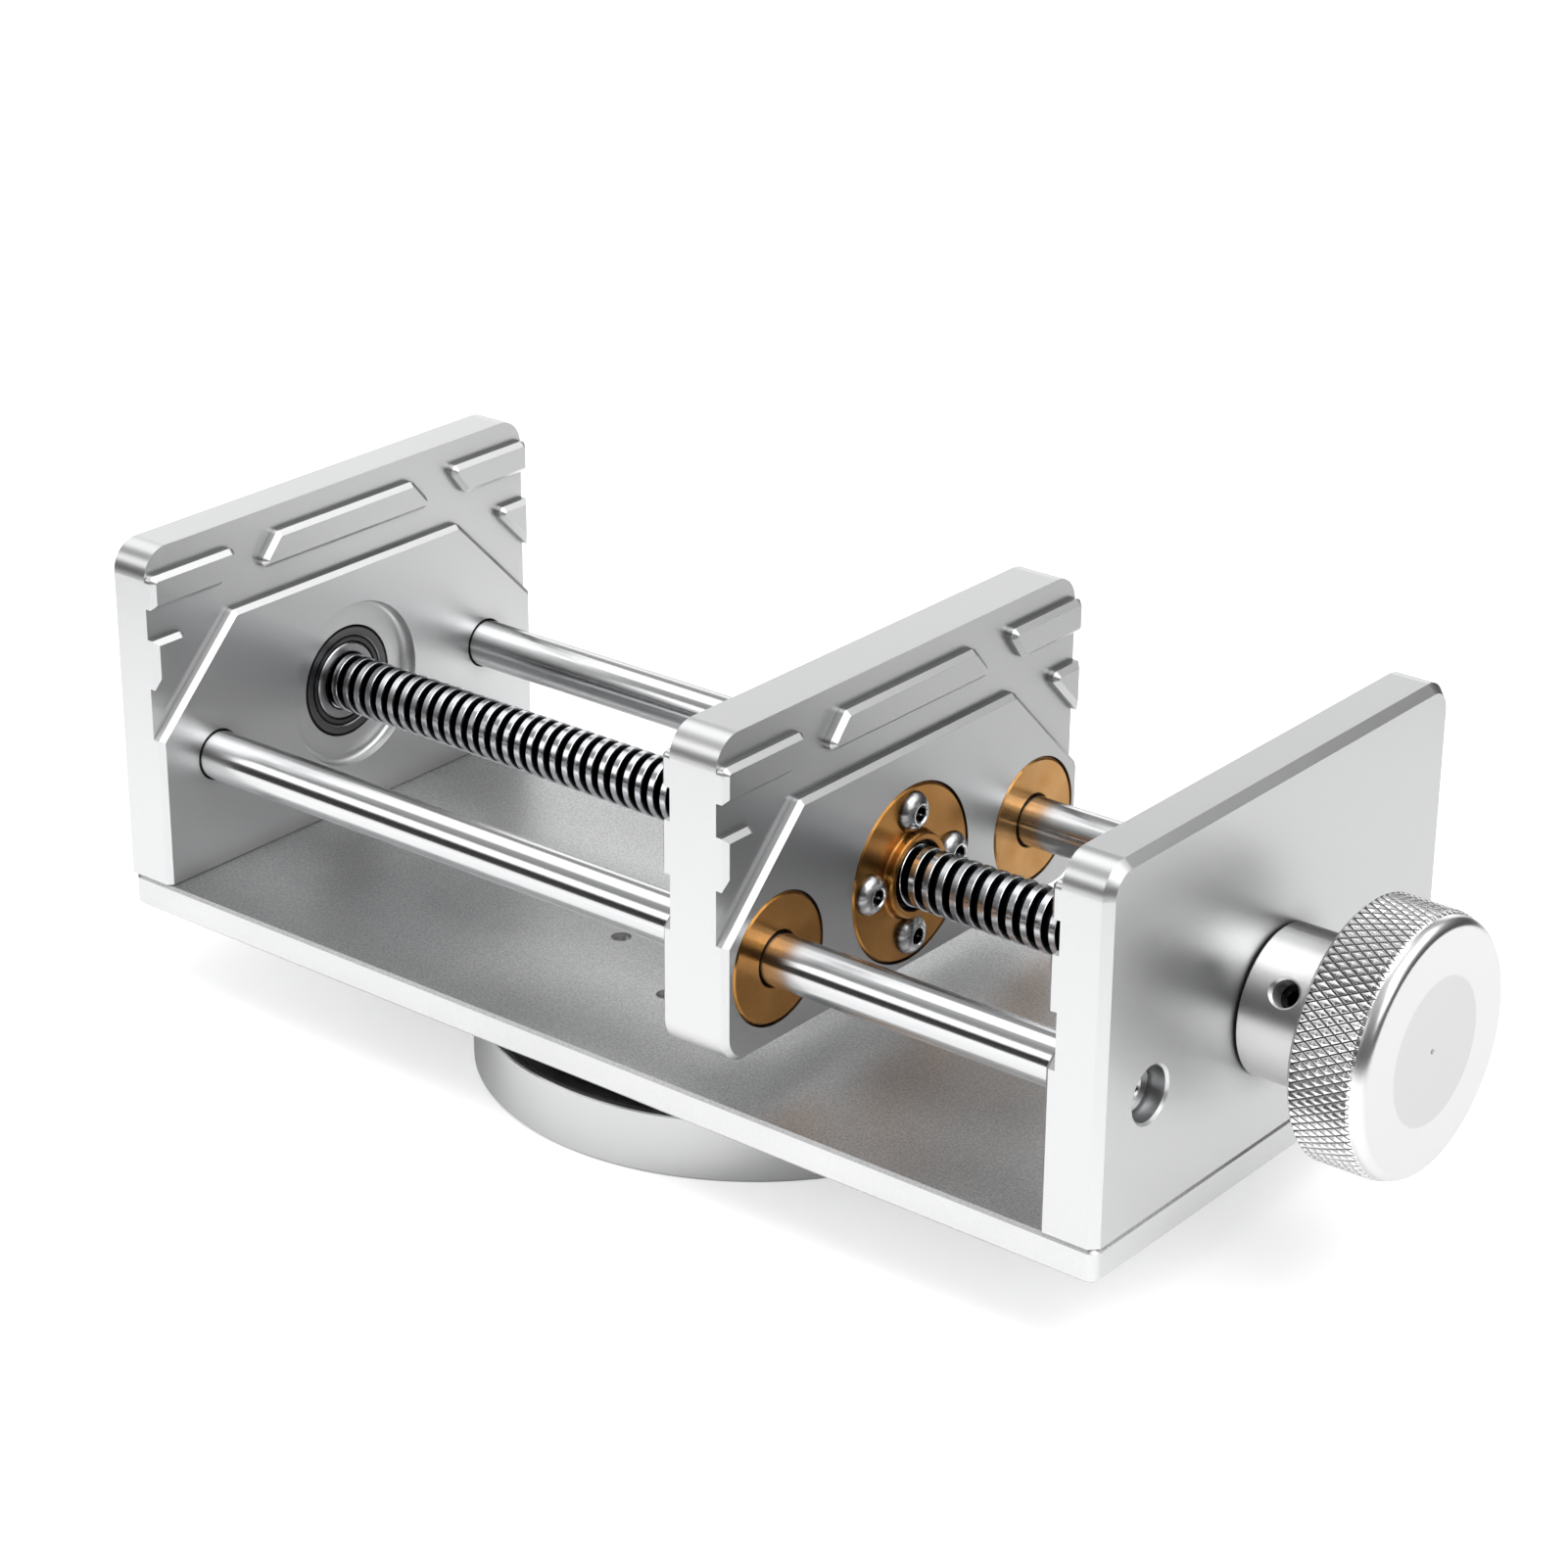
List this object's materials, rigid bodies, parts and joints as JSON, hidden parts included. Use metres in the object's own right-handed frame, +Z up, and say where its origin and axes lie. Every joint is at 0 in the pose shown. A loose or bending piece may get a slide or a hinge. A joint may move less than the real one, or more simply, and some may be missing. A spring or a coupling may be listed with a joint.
{
  "type": "mini bench vise",
  "caption": "Small swivelling bench vise with a screw-driven jaw that slides on guide rods between two upright plates, turned by a knurled knob.",
  "frame": {"origin": "centre of the round foot's underside, on the swivel axis, at bench level", "axes": "+Z up, along the swivel axis; +X along the lead screw from the fixed jaw to the knob; +Y across the jaws, to the left when seen from the knob's end"},
  "size_m": [0.2671, 0.11, 0.0922],
  "materials": {
    "aluminium": "satin, bead-blasted and clear anodised",
    "bronze": "satin, turned, slightly browned",
    "chrome_rod": "ground and hard chromed",
    "screw_steel": "bright, cut thread",
    "steel_fastener": "satin stainless",
    "bearing_steel": "ground",
    "bearing_shield": "pressed sheet, dark",
    "black_metal": "black anodised, matt",
    "black_polymer": "matt"
  },
  "bodies": {
    "foot": {"swivel_base": "aluminium", "turntable_thrust_ring": "black_polymer", "pivot_thrust_washer": "bronze"},
    "frame": {"pivot_hub": "steel_fastener", "pivot_screw": "steel_fastener", "turntable": "black_metal", "turntable_screws": "steel_fastener", "base_plate": "aluminium", "fixed_jaw": "aluminium", "fixed_jaw_screws": "steel_fastener", "end_plate": "aluminium", "end_plate_screws": "steel_fastener", "guide_rod_front": "chrome_rod", "guide_rod_rear": "chrome_rod", "rod_screws_fixed_jaw": "steel_fastener", "rod_screws_end_plate": "steel_fastener", "rear_bearing_outer_ring": "bearing_steel", "rear_bearing_balls": "bearing_steel", "rear_bearing_shields": "bearing_shield", "front_bearing_outer_ring": "bearing_steel", "front_bearing_balls": "bearing_steel", "front_bearing_shields": "bearing_shield"},
    "jaw": {"moving_jaw": "aluminium", "lead_nut": "bronze", "nut_screws": "steel_fastener", "bush_front": "bronze", "bush_rear": "bronze"},
    "screw": {"lead_screw": "screw_steel", "thrust_spacer": "steel_fastener", "knob": "aluminium", "knob_set_screw": "steel_fastener", "rear_bearing_inner_ring": "bearing_steel", "front_bearing_inner_ring": "bearing_steel"}
  },
  "joints": [
    {"name": "swivel", "type": "hinge", "parent": "foot", "child": "frame", "pos_m": [0, 0, 0], "axis": [0, 0, 1], "continuous": true},
    {"name": "screw_spin", "type": "hinge", "parent": "frame", "child": "screw", "pos_m": [0, 0, 0.0485], "axis": [1, 0, 0], "range_deg": [-7426.7, 14604]},
    {"name": "jaw_slide", "type": "slide", "parent": "frame", "child": "jaw", "axis": [1, 0, 0], "range_m": [-0.1288, 0.0655]}
  ],
  "couplings": [
    {"joint": "jaw_slide", "follows": "screw_spin", "m_per_rad": -0.00050532}
  ]
}
